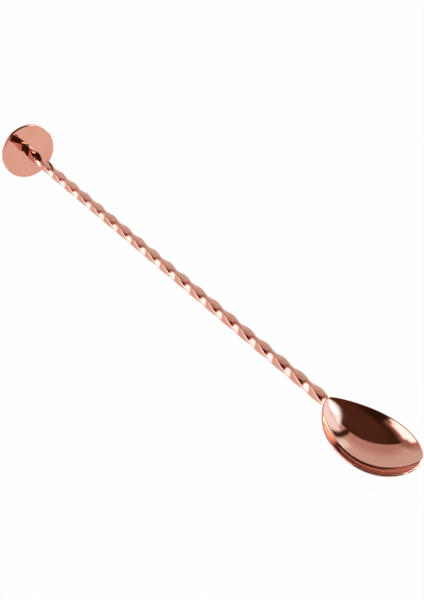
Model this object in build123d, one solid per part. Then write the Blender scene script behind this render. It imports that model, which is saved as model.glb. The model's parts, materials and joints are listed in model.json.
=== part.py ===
from build123d import *
from math import atan2, degrees, sqrt
import os

# A bar spoon lying on a table: muddling disc at -X, twisted stem along X,
# bowl at +X with its hollow facing up. Millimetres, +Z up.
# The origin is on the table, under the middle of the spoon.

# Muddling disc, square across the end of the stem
DISC_DIAMETER = 24.0
DISC_THICKNESS = 1.5
DISC_EDGE_RADIUS = 0.5
SOCKET_DIAMETER = 2.6
SOCKET_DEPTH = 1.0

# Twisted square stem
STEM_LENGTH = 234.9
STEM_SIDE = 3.5
STEM_CORNER_RADIUS = 0.45
TWIST_LEAD = 46.6
START_ANGLE = 37.5
SCARF_REACH = 12.0

# Bowl pressed from sheet
HOLLOW_LENGTH = 45.2
HOLLOW_HALF_WIDTH = 12.35
HOLLOW_DEPTH = 5.8
FLOOR_SHARE = 0.33
FLOOR_POWER = 3
DEPTH_SKEW = -0.26
DEPTH_TAPER = -0.38
EGG_SKEW = -0.4
EGG_FULLNESS = -0.055
EGG_HEEL_TRIM = -0.045
SHEET_THICKNESS = 0.7
LIP_RADIUS = 0.3
HEEL_RISE = 2.3
RIM_PITCH = 4.9

# Grid of points that carries the bowl surface a little past the rim
GRID_RISE = 1.15
GRID_OVERRUN = 1.04
GRID_ROWS = 31
GRID_COLUMNS = 25
ROOM_ABOVE = 30.0

# Braze metal at the two ends of the stem
DISC_BRAZE_FOOT = 6.4
DISC_BRAZE_NECK = 5.2
DISC_BRAZE_HEIGHT = 0.8
BOWL_BRAZE_START = -1.2
BOWL_BRAZE_LENGTH = 9.0
BOWL_BRAZE_NECK = 5.0
BOWL_BRAZE_FOOT = 7.4

LEVELLING_STEPS = 4


def egg_factor(c):
    """Width of the hollow against a plain ellipse; c runs from 1 at the heel to -1 at the tip."""
    fullness = EGG_FULLNESS * (2 * c**2 - 1)
    heel_trim = EGG_HEEL_TRIM * (4 * c**3 - 3 * c)
    return 1 + EGG_SKEW * c + fullness + heel_trim


def hollow_height(c, s):
    """Height of the hollow against the rim; s runs from 0 over the bowl's middle to 1 at the rim."""
    rounded = (1 - FLOOR_SHARE) * (s - 1)
    flat_floored = FLOOR_SHARE * (s**FLOOR_POWER - 1)
    along = 1 + DEPTH_SKEW * c + DEPTH_TAPER * c**2
    return HOLLOW_DEPTH * (rounded + flat_floored) * along


def bowl_surface():
    """Inside face of the bowl: heel at the origin, rim in the XY plane, hollow facing +Z."""
    rows = []
    for i in range(GRID_ROWS):
        c = GRID_OVERRUN * (1 - 2 * i / (GRID_ROWS - 1))
        span = GRID_RISE - c**2
        half_width = HOLLOW_HALF_WIDTH * egg_factor(c) * sqrt(span)
        row = []
        for j in range(GRID_COLUMNS):
            v = 2 * j / (GRID_COLUMNS - 1) - 1
            height = hollow_height(c, c**2 + v**2 * span)
            row.append(Vector(HOLLOW_LENGTH / 2 * (1 - c), v * half_width, height))
        rows.append(row)
    return Face.make_surface_from_array_of_points(rows, tol=0.002, min_deg=3, max_deg=5)


def below_rim(face):
    """The part of a bowl surface that lies inside the rim."""
    pieces = face.split(Plane.XY, keep=Keep.BOTTOM)
    return min(pieces, key=lambda piece: piece.bounding_box().max.Z)


def on_stem(shape):
    """Carry a shape from the bowl's own frame to its place at the end of the stem."""
    return Pos(STEM_LENGTH, 0, HEEL_RISE) * Rot(0, RIM_PITCH, 0) * shape


def round_on_x(start, length, diameter):
    """A plain round lying on the X axis."""
    align = (Align.CENTER, Align.CENTER, Align.MIN)
    return Pos(start, 0, 0) * Rot(0, 90, 0) * Cylinder(diameter / 2, length, align=align)


def cone_on_x(start, length, start_diameter, end_diameter):
    """A cone lying on the X axis."""
    align = (Align.CENTER, Align.CENTER, Align.MIN)
    cone = Cone(start_diameter / 2, end_diameter / 2, length, align=align)
    return Pos(start, 0, 0) * Rot(0, 90, 0) * cone


def make_bowl():
    sheet = Solid.thicken(below_rim(bowl_surface()), -SHEET_THICKNESS)
    by_length = sheet.edges().sort_by(SortBy.LENGTH)
    return on_stem(sheet.fillet(LIP_RADIUS, by_length[-2:]))


def make_bowl_envelope():
    """The bowl's sheet carried past the rim, and the room above it."""
    surface = bowl_surface()
    sheet = Solid.thicken(surface, -SHEET_THICKNESS)
    room = extrude(surface, ROOM_ABOVE, dir=(0, 0, 1))
    return [on_stem(sheet), on_stem(room)]


def make_bar():
    """Square bar with softened corners and a right-handed twist, starting at the disc's face."""
    length = STEM_LENGTH + SCARF_REACH
    section = Plane.YZ * RectangleRounded(STEM_SIDE, STEM_SIDE, STEM_CORNER_RADIUS)
    section = section.face().rotate(Axis.X, START_ANGLE)
    twist = 360 * length / TWIST_LEAD
    return Solid.extrude_linear_with_rotation(section, (0, 0, 0), (length, 0, 0), twist)


def make_stem(bar, envelope):
    """Bar scarfed under the bowl, with a turned tenon that sits in the disc."""
    scarfed = (bar - envelope).solids().sort_by(SortBy.VOLUME)[-1]
    return scarfed + round_on_x(-SOCKET_DEPTH, SOCKET_DEPTH, SOCKET_DIAMETER)


def make_disc():
    blank = round_on_x(-DISC_THICKNESS, DISC_THICKNESS, DISC_DIAMETER)
    blank = fillet(blank.edges().filter_by(GeomType.CIRCLE), DISC_EDGE_RADIUS)
    return blank - round_on_x(-SOCKET_DEPTH, SOCKET_DEPTH, SOCKET_DIAMETER)


def make_disc_braze(bar):
    return cone_on_x(0, DISC_BRAZE_HEIGHT, DISC_BRAZE_FOOT, DISC_BRAZE_NECK) - bar


def make_bowl_braze(bar, envelope):
    start = STEM_LENGTH + BOWL_BRAZE_START
    bead = cone_on_x(start, BOWL_BRAZE_LENGTH, BOWL_BRAZE_NECK, BOWL_BRAZE_FOOT)
    bead = bead - bar - envelope
    return bead.solids().sort_by(SortBy.VOLUME)[-1]


def rest_on_table(pieces):
    """Tilt and lift the whole spoon until the disc's edge and the bowl both touch Z = 0."""
    tilt = 0.0
    for _ in range(LEVELLING_STEPS):
        disc_box = (Rot(0, tilt, 0) * pieces["muddler_disc"]).bounding_box()
        bowl_box = (Rot(0, tilt, 0) * pieces["bowl"]).bounding_box()
        span = bowl_box.center().X - disc_box.center().X
        tilt += degrees(atan2(bowl_box.min.Z - disc_box.min.Z, span))
    turned = {name: Rot(0, tilt, 0) * piece for name, piece in pieces.items()}
    box = Compound([solid for piece in turned.values() for solid in piece.solids()]).bounding_box()
    move = Pos(-(box.min.X + box.max.X) / 2, 0, -box.min.Z)
    return {name: move * piece.solids()[0] for name, piece in turned.items()}


def build():
    bar = make_bar()
    envelope = make_bowl_envelope()
    pieces = {
        "bowl": make_bowl(),
        "twisted_stem": make_stem(bar, envelope),
        "muddler_disc": make_disc(),
        "bowl_braze": make_bowl_braze(bar, envelope),
        "disc_braze": make_disc_braze(bar),
    }
    return rest_on_table(pieces)


os.makedirs("parts", exist_ok=True)
for node, solid in build().items():
    export_step(solid, f"parts/{node}.step")
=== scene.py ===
import json
from math import pi, radians

import bpy
import numpy as np
from mathutils import Matrix, Vector


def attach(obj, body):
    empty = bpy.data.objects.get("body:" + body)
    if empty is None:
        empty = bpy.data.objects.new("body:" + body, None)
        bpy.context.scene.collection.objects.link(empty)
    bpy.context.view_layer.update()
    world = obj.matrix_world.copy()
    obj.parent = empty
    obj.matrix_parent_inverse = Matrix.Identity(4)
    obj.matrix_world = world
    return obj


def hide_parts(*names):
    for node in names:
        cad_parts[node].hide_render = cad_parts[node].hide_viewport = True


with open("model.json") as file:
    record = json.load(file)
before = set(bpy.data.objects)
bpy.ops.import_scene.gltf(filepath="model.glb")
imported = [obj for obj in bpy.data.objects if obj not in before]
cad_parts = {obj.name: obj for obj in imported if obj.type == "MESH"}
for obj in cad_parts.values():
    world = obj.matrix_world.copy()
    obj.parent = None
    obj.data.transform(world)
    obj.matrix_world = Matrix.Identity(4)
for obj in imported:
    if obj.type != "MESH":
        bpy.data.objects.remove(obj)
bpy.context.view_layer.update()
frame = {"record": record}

# Sizes in millimetres, the same as the CAD model's
MM = 0.001
DISC_RADIUS = 12.0
DISC_THICKNESS = 1.5
STEM_LENGTH = 234.9
STEM_SIDE = 3.5
STEM_CORNER_RADIUS = 0.45
TWIST_LEAD = 46.6
START_ANGLE = radians(37.5)
SCARF_REACH = 12.0
HOLLOW_LENGTH = 45.2
HOLLOW_HALF_WIDTH = 12.35
HOLLOW_DEPTH = 5.8
FLOOR_SHARE = 0.33
FLOOR_POWER = 3
DEPTH_SKEW = -0.26
DEPTH_TAPER = -0.38
EGG_SKEW = -0.4
EGG_FULLNESS = -0.055
EGG_HEEL_TRIM = -0.045
SHEET_THICKNESS = 0.7
LIP_RADIUS = 0.3
HEEL_RISE = 2.3
RIM_PITCH = radians(4.9)

# The disc's edge is rolled a little softer than the CAD model's
DISC_EDGE_WIDTH = 0.55
DISC_EDGE_DEPTH = 0.6

# How finely each piece is meshed
BOWL_RINGS = 90
BOWL_SPOKES = 288
LIP_POINTS = 6
LIP_SWEEP = 75
STEM_STEP = 0.3
CORNER_POINTS = 7
FLAT_POINTS = 8
DISC_RINGS = 40
DISC_EDGE_POINTS = 15
DISC_SPOKES = 256
FILLET_STEPS = 10
HALVINGS = 40

# Fillets of braze metal, and how far they sink into their neighbours
DISC_FILLET = 0.25
HEEL_FILLET = 1.6
HEEL_FILLET_LEAST = 0.1
HEEL_FILLET_SLANT = 1.6
HEEL_FILLET_TOP = 1.4
HEEL_FILLET_RAMP = 1.5
FLUSH = 0.02
SINK = 0.25

# The bar's top is dressed down under the rim as it nears the bowl
HEEL_TOP = -0.25
HEEL_RAMP = 7.0
HEEL_BLEND = 0.02
HEEL_BEFORE = 2.5

# Camera
CAMERA_PLACE = Vector((549.0, -304.91, 332.27)) * MM
CAMERA_AIM = Vector((8.1, 5.64, 5.0)) * MM
CAMERA_ROLL = radians(-0.371)
CAMERA_LENS = 113.61

# Floor: half its side in metres, and its own colour and glow
FLOOR_REACH = 4.0
FLOOR_COLOUR = 0.03
FLOOR_GLOW = 0.97


def spoon_frame():
    """Places the spoon's own axes, +X along the stem from the disc's inner face, in the row frame."""
    mount = frame["record"]["mounts"][0]
    along = -Vector(mount["axis"]).normalized()
    side = Vector((0, 1, 0))
    origin = Vector(mount["pos_m"]) + along * DISC_THICKNESS * MM
    turn = Matrix((along, side, along.cross(side))).transposed().to_4x4()
    return Matrix.Translation(origin) @ turn


SPOON = spoon_frame()
BOWL_IN_SPOON = Matrix.Translation((STEM_LENGTH, 0, HEEL_RISE)) @ Matrix.Rotation(RIM_PITCH, 4, "Y")
TO_BOWL = np.array(BOWL_IN_SPOON.inverted())
FROM_BOWL = np.array(BOWL_IN_SPOON)


def turned(matrix, points):
    """Points carried through a 4 by 4 matrix."""
    return points @ matrix[:3, :3].T + matrix[:3, 3]


def make_mesh(name, points, faces, wear=None):
    """A smooth mesh from points in the spoon's axes; wear is 0 to 1 at each point, most along its edges."""
    mesh = bpy.data.meshes.new(name)
    mesh.from_pydata([SPOON @ (Vector(p) * MM) for p in points], [], faces)
    mesh.polygons.foreach_set("use_smooth", [True] * len(mesh.polygons))
    if wear is not None:
        mesh.attributes.new("wear", "FLOAT", "POINT").data.foreach_set("value", np.asarray(wear, np.float32))
    piece = bpy.data.objects.new(name, mesh)
    bpy.context.scene.collection.objects.link(piece)
    return piece


def ring_faces(rings, spokes, poles=(None, None), looped=False):
    """Faces of a tube of rings with equal numbers of spokes, closed on two poles or on itself."""
    faces = []
    for i in range(rings if looped else rings - 1):
        n = (i + 1) % rings
        for j in range(spokes):
            k = (j + 1) % spokes
            faces.append((i * spokes + j, i * spokes + k, n * spokes + k, n * spokes + j))
    first, last = poles
    for j in range(spokes):
        k = (j + 1) % spokes
        if first is not None:
            faces.append((first, k, j))
        if last is not None:
            faces.append((last, (rings - 1) * spokes + j, (rings - 1) * spokes + k))
    return faces


def egg_factor(c):
    """Width of the hollow against a plain ellipse; c runs from 1 at the heel to -1 at the tip."""
    return 1 + EGG_SKEW * c + EGG_FULLNESS * (2 * c**2 - 1) + EGG_HEEL_TRIM * (4 * c**3 - 3 * c)


def egg_slope(c):
    """How fast that width changes with c."""
    return EGG_SKEW + EGG_FULLNESS * 4 * c + EGG_HEEL_TRIM * (12 * c**2 - 3)


def hollow_height(x, y):
    """Height of the bowl's inside face and its slopes along x and y, in the bowl's own axes."""
    c = 1 - 2 * x / HOLLOW_LENGTH
    half_width = HOLLOW_HALF_WIDTH * egg_factor(c)
    v = y / half_width
    s = c**2 + v**2
    depth = HOLLOW_DEPTH * ((1 - FLOOR_SHARE) * (s - 1) + FLOOR_SHARE * (s**FLOOR_POWER - 1))
    depth_rate = HOLLOW_DEPTH * ((1 - FLOOR_SHARE) + FLOOR_SHARE * FLOOR_POWER * s ** (FLOOR_POWER - 1))
    along = 1 + DEPTH_SKEW * c + DEPTH_TAPER * c**2
    dc_dx = -2 / HOLLOW_LENGTH
    ds_dx = (2 * c - 2 * v**2 * egg_slope(c) / egg_factor(c)) * dc_dx
    ds_dy = 2 * v / half_width
    slope_x = depth_rate * ds_dx * along + depth * (DEPTH_SKEW + 2 * DEPTH_TAPER * c) * dc_dx
    slope_y = depth_rate * ds_dy * along
    return depth * along, slope_x, slope_y


def hollow(radius, angle):
    """Points of the inside face, its downward normals, and the way up its wall; radius is 1 at the rim."""
    c = radius * np.cos(angle)
    x = HOLLOW_LENGTH / 2 * (1 - c)
    y = radius * np.sin(angle) * HOLLOW_HALF_WIDTH * egg_factor(c)
    z, slope_x, slope_y = hollow_height(x, y)
    down = np.stack([slope_x, slope_y, -np.ones_like(x)], 1)
    up_wall = np.stack([slope_x, slope_y, slope_x**2 + slope_y**2], 1)
    return np.stack([x, y, z], 1), down / np.linalg.norm(down, axis=1)[:, None], up_wall


def sheet_depth(points):
    """How far below the bowl's inside face points in the spoon's axes lie, and the downward normals there."""
    local = turned(TO_BOWL, points)
    z, slope_x, slope_y = hollow_height(local[:, 0], local[:, 1])
    down = np.stack([slope_x, slope_y, -np.ones_like(z)], 1)
    size = np.linalg.norm(down, axis=1)
    return (z - local[:, 2]) / size, (down / size[:, None]) @ FROM_BOWL[:3, :3].T


def make_bowl():
    """Rings from the middle of the hollow, over the rolled lip, to the middle of the outside face."""
    angle = np.linspace(0, 2 * pi, BOWL_SPOKES, endpoint=False)
    rim, rim_down, rim_up = hollow(np.ones(BOWL_SPOKES), angle)
    rim_up = rim_up / np.linalg.norm(rim_up, axis=1)[:, None]
    step = 1e-3
    inside, _, _ = hollow(np.full(BOWL_SPOKES, 1 - step), angle)
    rate = ((rim - inside) * rim_up).sum(1) / step
    edge = 1 - LIP_RADIUS / rate
    inner = []
    outer = []
    for share in np.linspace(1, 0, BOWL_RINGS + 1)[:-1]:
        points, down, _ = hollow(edge * share, angle)
        inner.append(points)
        outer.append(points + down * SHEET_THICKNESS)
    lip = []
    quarter = np.radians(np.linspace(0, LIP_SWEEP, LIP_POINTS))
    for start, turns in ((LIP_RADIUS, -quarter[::-1]), (SHEET_THICKNESS - LIP_RADIUS, quarter)):
        for a in turns:
            across = start + LIP_RADIUS * np.sin(a)
            lip.append(rim + rim_down * across + rim_up * LIP_RADIUS * (np.cos(a) - 1))
    rings = inner[::-1] + lip + outer
    pole, pole_down, _ = hollow(np.zeros(1), np.zeros(1))
    points = np.concatenate(rings + [pole, pole + pole_down * SHEET_THICKNESS])
    wear = np.zeros((len(rings), BOWL_SPOKES))
    wear[len(inner):len(inner) + len(lip)] = 1
    first = len(rings) * BOWL_SPOKES
    faces = ring_faces(len(rings), BOWL_SPOKES, (first, first + 1))
    return make_mesh("spoon_bowl", turned(FROM_BOWL, points), faces, np.r_[wear.ravel(), 0, 0])


def square_outline():
    """Rounded square in the YZ plane as points, with 1 at the middle of each corner and 0 on the flats."""
    half = STEM_SIDE / 2
    centre = half - STEM_CORNER_RADIUS
    points = []
    for quarter in range(4):
        turn = np.array([[np.cos(quarter * pi / 2), -np.sin(quarter * pi / 2)],
                         [np.sin(quarter * pi / 2), np.cos(quarter * pi / 2)]])
        for a in np.linspace(0, pi / 2, CORNER_POINTS):
            corner = (centre + STEM_CORNER_RADIUS * np.cos(a), centre + STEM_CORNER_RADIUS * np.sin(a))
            points.append((*(turn @ corner), np.sin(2 * a)))
        for t in np.linspace(1, -1, FLAT_POINTS + 2)[1:-1]:
            points.append((*(turn @ (centre * t, half)), 0))
    return np.array(points)


OUTLINE = square_outline()


def bar_ring(x, inset=0.0):
    """The twisted bar's outline at distances x along it, one distance for each outline point."""
    radius = np.hypot(OUTLINE[:, 0], OUTLINE[:, 1])
    shrink = (radius - inset) / radius
    turn = START_ANGLE + 2 * pi * x / TWIST_LEAD
    y = (OUTLINE[:, 0] * np.cos(turn) - OUTLINE[:, 1] * np.sin(turn)) * shrink
    z = (OUTLINE[:, 0] * np.sin(turn) + OUTLINE[:, 1] * np.cos(turn)) * shrink
    local = turned(TO_BOWL, np.stack([x + 0 * y, y, z], 1))
    above = local[:, 2] - HEEL_TOP + inset
    above = (above + np.sqrt(above**2 + HEEL_BLEND)) / 2
    local[:, 2] -= above * np.clip((x - STEM_LENGTH + HEEL_RAMP) / HEEL_RAMP, 0, 1) ** 2
    return turned(FROM_BOWL, local)


def into_sheet(points, sink):
    """Positive where points in the spoon's axes are still short of lying sink deep in the bowl's sheet."""
    depth, down = sheet_depth(points)
    local = turned(TO_BOWL, points - depth[:, None] * down)
    c = 1 - 2 * local[:, 0] / HOLLOW_LENGTH
    v = local[:, 1] / (HOLLOW_HALF_WIDTH * egg_factor(c))
    past_rim = (np.sqrt(c**2 + v**2) - 1) * HOLLOW_LENGTH / 2
    return np.maximum(depth - SHEET_THICKNESS, past_rim) + sink


def bar_meets(sink):
    """Where each line along the bar has sunk that far into the bowl's sheet."""
    low = np.full(len(OUTLINE), STEM_LENGTH - HEEL_BEFORE)
    high = np.full(len(OUTLINE), STEM_LENGTH + SCARF_REACH)
    for _ in range(HALVINGS):
        middle = (low + high) / 2
        short = into_sheet(bar_ring(middle), sink) > 0
        low = np.where(short, middle, low)
        high = np.where(short, high, middle)
    return low


def make_stem():
    """The twisted bar, ending inside the bowl's sheet along the line where the two meet."""
    reach = bar_meets(SINK)
    straight = STEM_LENGTH - SCARF_REACH
    rings = [bar_ring(np.full(len(OUTLINE), x)) for x in np.arange(0, straight, STEM_STEP)]
    for share in np.linspace(0, 1, int(SCARF_REACH / STEM_STEP)):
        rings.append(bar_ring(straight + (reach - straight) * share))
    end = rings[-1]
    for share in (0.75, 0.5, 0.25):
        ring = end * share + end.mean(0) * (1 - share)
        depth, down = sheet_depth(ring)
        rings.append(ring + down * (SHEET_THICKNESS - SINK - depth)[:, None])
    centre = rings[-1].mean(0)[None]
    points = np.concatenate(rings + [np.zeros((1, 3)), centre])
    first = len(rings) * len(OUTLINE)
    wear = np.r_[np.tile(OUTLINE[:, 2], len(rings)), 0, 0]
    faces = ring_faces(len(rings), len(OUTLINE), (first, first + 1))
    return make_mesh("twisted_square_stem", points, faces, wear)


def make_disc():
    """Flat round disc with a rolled edge, turned from a profile of distance, radius and wear."""
    radius, thickness, width, depth = DISC_RADIUS, DISC_THICKNESS, DISC_EDGE_WIDTH, DISC_EDGE_DEPTH
    face = [(radius - width) * k / DISC_RINGS for k in range(1, DISC_RINGS + 1)]
    roll = np.linspace(0, pi / 2, DISC_EDGE_POINTS)
    profile = [(0, r, 0) for r in face]
    for a in roll[1:]:
        profile.append((-depth * (1 - np.cos(a)), radius - width + width * np.sin(a), 1))
    for a in roll[:0:-1]:
        profile.append((-thickness + depth * (1 - np.cos(a)), radius - width + width * np.sin(a), 1))
    profile += [(-thickness, r, 0) for r in face[::-1]]
    angle = np.linspace(0, 2 * pi, DISC_SPOKES, endpoint=False)
    rings = []
    for x, r, _ in profile:
        rings.append(np.stack([np.full(DISC_SPOKES, x), r * np.cos(angle), r * np.sin(angle)], 1))
    points = np.concatenate(rings + [np.array([[0.0, 0, 0], [-thickness, 0, 0]])])
    wear = np.r_[np.repeat([w for _, _, w in profile], DISC_SPOKES), 0, 0]
    first = len(rings) * DISC_SPOKES
    return make_mesh("polished_disc", points, ring_faces(len(rings), DISC_SPOKES, (first, first + 1)), wear)


def make_fillet(name, neck, corner, foot, hidden):
    """A ring of braze metal, curved from the bar at neck to the face at foot and backed by hidden rings."""
    rings = []
    for t in np.linspace(0, 1, FILLET_STEPS):
        rings.append(neck * (1 - t) ** 2 + corner * 2 * t * (1 - t) + foot * t**2)
    rings += hidden
    return make_mesh(name, np.concatenate(rings), ring_faces(len(rings), len(OUTLINE), looped=True))


def outward(ring):
    """Directions straight out from the bar's axis at the points of a ring."""
    out = ring * np.array([0, 1, 1])
    return out / np.linalg.norm(out, axis=1)[:, None]


def make_disc_fillet():
    """A thin ring of braze metal where the bar stands on the disc."""
    corner = bar_ring(np.zeros(len(OUTLINE)))
    out = outward(corner)
    neck = bar_ring(np.full(len(OUTLINE), DISC_FILLET))
    foot = corner + out * DISC_FILLET
    foot_back = foot + np.array([-SINK, 0, 0])
    core_start = bar_ring(np.full(len(OUTLINE), -SINK), SINK)
    core_end = bar_ring(np.full(len(OUTLINE), DISC_FILLET * 0.8), SINK)
    hidden = [foot_back, core_start, core_end]
    return make_fillet("disc_joint_fillet", neck, corner, foot, hidden)


def make_heel_fillet():
    """Braze metal under the heel; it is full below the bar and thins out towards the rim."""
    meets = bar_meets(0)
    place = bar_ring(meets)
    room = np.clip((-turned(TO_BOWL, place)[:, 2] - HEEL_FILLET_TOP) / HEEL_FILLET_RAMP, 0, 1)
    size = HEEL_FILLET_LEAST + HEEL_FILLET * room
    corner = bar_ring(meets, 1.5 * FLUSH * (1 - room))
    neck = bar_ring(meets - size * HEEL_FILLET_SLANT, FLUSH)
    foot = corner + outward(corner) * (size * room)[:, None]
    for _ in range(3):
        depth, down = sheet_depth(foot)
        foot = foot + down * ((SHEET_THICKNESS - FLUSH - depth) * room)[:, None]
    depth, down = sheet_depth(foot)
    hidden = [foot - down * SINK, bar_ring(meets, SINK) - down * SINK, bar_ring(meets - size, SINK)]
    return make_fillet("heel_fillet", neck, corner, foot, hidden)


def calculate(tree, operation, a, b=None, c=None):
    """A math node; each input is a number or another node's output."""
    node = tree.nodes.new("ShaderNodeMath")
    node.operation = operation
    for socket, value in zip(node.inputs, (a, b, c)):
        if isinstance(value, bpy.types.NodeSocket):
            tree.links.new(value, socket)
        elif value is not None:
            socket.default_value = value
    return node.outputs[0]


def smooth(tree, value, low, high):
    """0 where value is at low, 1 where it is at high, with a smooth change between."""
    node = tree.nodes.new("ShaderNodeMapRange")
    node.interpolation_type = "SMOOTHSTEP"
    tree.links.new(value, node.inputs["Value"])
    node.inputs["From Min"].default_value = low
    node.inputs["From Max"].default_value = high
    return node.outputs["Result"]


def mix_colour(tree, factor, a, b):
    """Colour a where factor is 0 and b where it is 1; inputs 6 and 7 are the mix node's two colours."""
    node = tree.nodes.new("ShaderNodeMix")
    node.data_type = "RGBA"
    tree.links.new(factor, node.inputs["Factor"])
    for socket, value in ((node.inputs[6], a), (node.inputs[7], b)):
        if isinstance(value, bpy.types.NodeSocket):
            tree.links.new(value, socket)
        else:
            socket.default_value = (*value, 1)
    return node.outputs[2]


def noise(tree, coords, scale, detail, stretch=None):
    """Soft noise over an object's own coordinates, in metres."""
    if stretch is not None:
        mapping = tree.nodes.new("ShaderNodeMapping")
        mapping.inputs["Scale"].default_value = stretch
        tree.links.new(coords, mapping.inputs["Vector"])
        coords = mapping.outputs["Vector"]
    node = tree.nodes.new("ShaderNodeTexNoise")
    node.inputs["Scale"].default_value = scale
    node.inputs["Detail"].default_value = detail
    tree.links.new(coords, node.inputs["Vector"])
    return node.outputs["Fac"]


# Copper plate: its usual, redder and thinned colours, and its tint at a glancing angle
COPPER = (0.74, 0.355, 0.262)
COPPER_DEEP = (0.69, 0.315, 0.228)
COPPER_WORN = (0.80, 0.44, 0.34)
COPPER_EDGE = (1.0, 0.93, 0.90, 1)


def copper(name, stretch):
    """Mirror-polished copper plate with faint polishing lines, fine scratches, smudges and thinned edges."""
    material = bpy.data.materials.new(name)
    material.use_nodes = True
    tree = material.node_tree
    shader = tree.nodes["Principled BSDF"]
    coords = tree.nodes.new("ShaderNodeTexCoord").outputs["Object"]

    tone = smooth(tree, noise(tree, coords, 45, 3), 0.35, 0.7)
    clouds = smooth(tree, noise(tree, coords, 160, 4), 0.45, 0.75)
    lines = noise(tree, coords, 1, 3, stretch)
    scratch_field = noise(tree, coords, 1, 1, tuple(3.1 * s for s in stretch[::-1]))
    off_line = calculate(tree, "ABSOLUTE", calculate(tree, "SUBTRACT", scratch_field, 0.5))
    scratches = smooth(tree, off_line, 0.012, 0.0)
    patches = smooth(tree, noise(tree, coords, 210, 2), 0.5, 0.65)
    scratches = calculate(tree, "MULTIPLY", scratches, patches)
    wear = tree.nodes.new("ShaderNodeAttribute")
    wear.attribute_name = "wear"
    rubbed = smooth(tree, noise(tree, coords, 500, 3), 0.4, 0.7)
    worn = calculate(tree, "MULTIPLY", wear.outputs["Fac"], rubbed)

    colour = mix_colour(tree, tone, COPPER, COPPER_DEEP)
    colour = mix_colour(tree, calculate(tree, "MULTIPLY", worn, 0.6), colour, COPPER_WORN)
    tree.links.new(colour, shader.inputs["Base Color"])

    rough = calculate(tree, "MULTIPLY_ADD", clouds, 0.035, 0.03)
    rough = calculate(tree, "MULTIPLY_ADD", lines, 0.02, rough)
    rough = calculate(tree, "MULTIPLY_ADD", scratches, 0.12, rough)
    rough = calculate(tree, "MULTIPLY_ADD", worn, 0.06, rough)
    tree.links.new(rough, shader.inputs["Roughness"])
    shader.inputs["Metallic"].default_value = 1
    shader.inputs["Specular Tint"].default_value = COPPER_EDGE

    swell = calculate(tree, "MULTIPLY", noise(tree, coords, 130, 1), 6.0)
    height = calculate(tree, "MULTIPLY_ADD", lines, 0.25, swell)
    height = calculate(tree, "MULTIPLY_ADD", scratches, -0.4, height)
    bump = tree.nodes.new("ShaderNodeBump")
    bump.inputs["Strength"].default_value = 1.0
    bump.inputs["Distance"].default_value = 1e-6
    tree.links.new(height, bump.inputs["Height"])
    tree.links.new(bump.outputs["Normal"], shader.inputs["Normal"])
    return material


# Fineness of the polishing lines along X, Y and Z; the larger it is, the finer they are that way
ALONG = (150, 9000, 9000)
ON_DISC = (9000, 1200, 1200)
pieces = (
    (make_bowl(), "bowl", "bowl_plate", ALONG),
    (make_stem(), "twisted_stem", "stem_plate", ALONG),
    (make_disc(), "muddler_disc", "disc_plate", ON_DISC),
    (make_heel_fillet(), "bowl_braze", "braze_plate", ALONG),
    (make_disc_fillet(), "disc_braze", "braze_plate", ALONG),
)
for piece, node, slot, stretch in pieces:
    piece.data.materials.append(copper(piece.name + "_copper", stretch))
    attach(piece, "root")
    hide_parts(node)

# Studio: what surrounds the spoon, as patches of light and dark by direction, in degrees.
# A side limits a patch to the half of the room that faces along it.
WALL = (0.80, 0.85, 0.87)
WALL_TOP = (0.62, 0.52, 0.49)
DARK = (0.097, 0.048, 0.030)
KEY_LIGHT = (9.0, 9.0, 9.5)
SMALL_LIGHT = (5.5, 6.0, 6.4)
SOFT_WHITE = (1.4, 2.3, 2.7)
SOFTBOX = (2.6, 2.75, 3.3)
CEILING_MID = (0.60, 0.48, 0.45)
CEILING_DIM = (0.40, 0.28, 0.24)
DARK_LOW = (0.065, 0.034, 0.020)
DARK_GAP = (0.035, 0.018, 0.011)
SOFTBOX_RIM = (0.42, 0.28, 0.25)
PINK_STRIP = (1.24, 1.72, 2.05)
DARK_STRIP = (0.06, 0.025, 0.015)
FAR_STRIP = (1.1, 1.42, 1.58)
SIDE_BLUR = 0.02
ALL_ROUND = (0, 0, 0)
CAMERA_SIDE = (0.755, -0.436, 0.489)
BACK_SIDE = (0.832, 0.511, -0.210)
TOP_SIDE = (0.912, 0.390, -0.124)
SKY_PATCHES = (
    # azimuth from, to, elevation from, to, softness, side, colour
    (-180, 180, 42, 95, 10.0, ALL_ROUND, WALL_TOP),
    (-166, -100, 5, 60, 9.0, ALL_ROUND, CEILING_MID),
    (-163, -100, 27, 60, 7.0, ALL_ROUND, CEILING_DIM),
    (-180, 180, -95, 95, 2.0, CAMERA_SIDE, DARK),
    (-180, 180, -95, 62, 6.0, CAMERA_SIDE, DARK_LOW),
    (-104, -76, -10, 56, 5.0, CAMERA_SIDE, DARK_GAP),
    (-150, -105, -12, 45, 6.0, ALL_ROUND, SOFTBOX_RIM),
    (-149, -106, -12, 31, 3.5, ALL_ROUND, SOFTBOX),
    (-142, -112, -12, 38, 4.0, ALL_ROUND, SOFTBOX),
    (58, 125, 43, 95, 3.0, TOP_SIDE, SOFT_WHITE),
    (99, 109.5, -10, 41, 3.0, BACK_SIDE, PINK_STRIP),
    (60, 98, -10, 58, 2.0, BACK_SIDE, SOFT_WHITE),
    (84, 98, -10, 58, 2.0, BACK_SIDE, KEY_LIGHT),
    (26, 38, 15, 28, 3.0, ALL_ROUND, SMALL_LIGHT),
    (109.8, 114.2, 17, 55, 1.2, ALL_ROUND, DARK_STRIP),
    (115.5, 122.5, -10, 35, 2.5, ALL_ROUND, FAR_STRIP),
)


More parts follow.
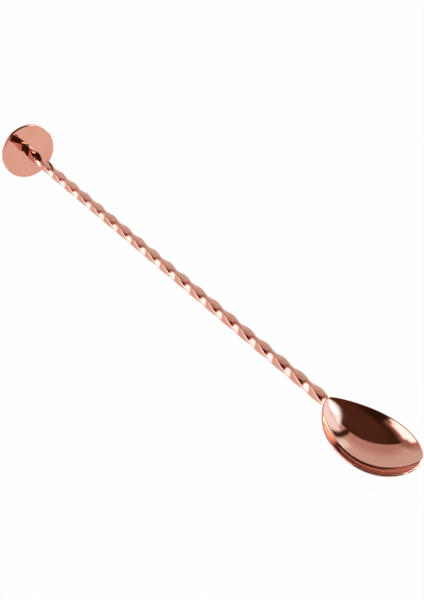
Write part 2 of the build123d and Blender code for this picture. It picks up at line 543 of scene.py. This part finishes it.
def make_world():
    """Lays the patches over a plain wall, each over the ones before it."""
    world = bpy.data.worlds.new("studio")
    bpy.context.scene.world = world
    world.use_nodes = True
    tree = world.node_tree
    split = tree.nodes.new("ShaderNodeSeparateXYZ")
    tree.links.new(tree.nodes.new("ShaderNodeTexCoord").outputs["Generated"], split.inputs[0])
    x, y, z = split.outputs
    elevation = calculate(tree, "MULTIPLY", calculate(tree, "ARCSINE", z), 180 / pi)
    colour = tree.nodes.new("ShaderNodeRGB").outputs[0]
    colour.default_value = (*WALL, 1)
    for start, stop, low, high, soft, side, shade in SKY_PATCHES:
        mask = smooth(tree, elevation, low - soft, low + soft)
        mask = calculate(tree, "MULTIPLY", mask, smooth(tree, elevation, high + soft, high - soft))
        if stop - start < 360:
            middle = radians((start + stop) / 2)
            ahead = calculate(tree, "MULTIPLY", y, np.sin(middle))
            ahead = calculate(tree, "MULTIPLY_ADD", x, np.cos(middle), ahead)
            aside = calculate(tree, "MULTIPLY", y, np.cos(middle))
            aside = calculate(tree, "MULTIPLY_ADD", x, -np.sin(middle), aside)
            turn = calculate(tree, "ABSOLUTE", calculate(tree, "ARCTAN2", aside, ahead))
            turn = calculate(tree, "MULTIPLY", turn, 180 / pi)
            half = (stop - start) / 2
            mask = calculate(tree, "MULTIPLY", mask, smooth(tree, turn, half + soft, half - soft))
        if any(side):
            facing = calculate(tree, "MULTIPLY_ADD", x, side[0], calculate(tree, "MULTIPLY", y, side[1]))
            facing = calculate(tree, "MULTIPLY_ADD", z, side[2], facing)
            mask = calculate(tree, "MULTIPLY", mask, smooth(tree, facing, -SIDE_BLUR, SIDE_BLUR))
        colour = mix_colour(tree, mask, colour, shade)
    tree.links.new(colour, tree.nodes["Background"].inputs["Color"])


make_world()

reach = FLOOR_REACH
floor_mesh = bpy.data.meshes.new("floor")
floor_corners = [(-reach, -reach, 0), (reach, -reach, 0), (reach, reach, 0), (-reach, reach, 0)]
floor_mesh.from_pydata(floor_corners, [], [(0, 1, 2, 3)])
floor = bpy.data.objects.new("floor", floor_mesh)
bpy.context.scene.collection.objects.link(floor)
pale_floor = bpy.data.materials.new("pale_floor")
pale_floor.use_nodes = True
shader = pale_floor.node_tree.nodes["Principled BSDF"]
shader.inputs["Base Color"].default_value = (FLOOR_COLOUR, FLOOR_COLOUR, FLOOR_COLOUR, 1)
shader.inputs["Roughness"].default_value = 1.0
shader.inputs["Specular IOR Level"].default_value = 0.0
shader.inputs["Emission Color"].default_value = (1, 1, 1, 1)
shader.inputs["Emission Strength"].default_value = FLOOR_GLOW
floor.data.materials.append(pale_floor)
bpy.context.scene.view_settings.view_transform = "Standard"

camera_data = bpy.data.cameras.new("camera")
camera_data.lens = CAMERA_LENS
camera_data.sensor_width = 36
camera_data.clip_start = 0.01
camera = bpy.data.objects.new("camera", camera_data)
look = (CAMERA_AIM - CAMERA_PLACE).to_track_quat("-Z", "Y").to_matrix().to_4x4()
camera.matrix_world = Matrix.Translation(CAMERA_PLACE) @ look @ Matrix.Rotation(CAMERA_ROLL, 4, "Z")
bpy.context.scene.collection.objects.link(camera)
bpy.context.scene.camera = camera
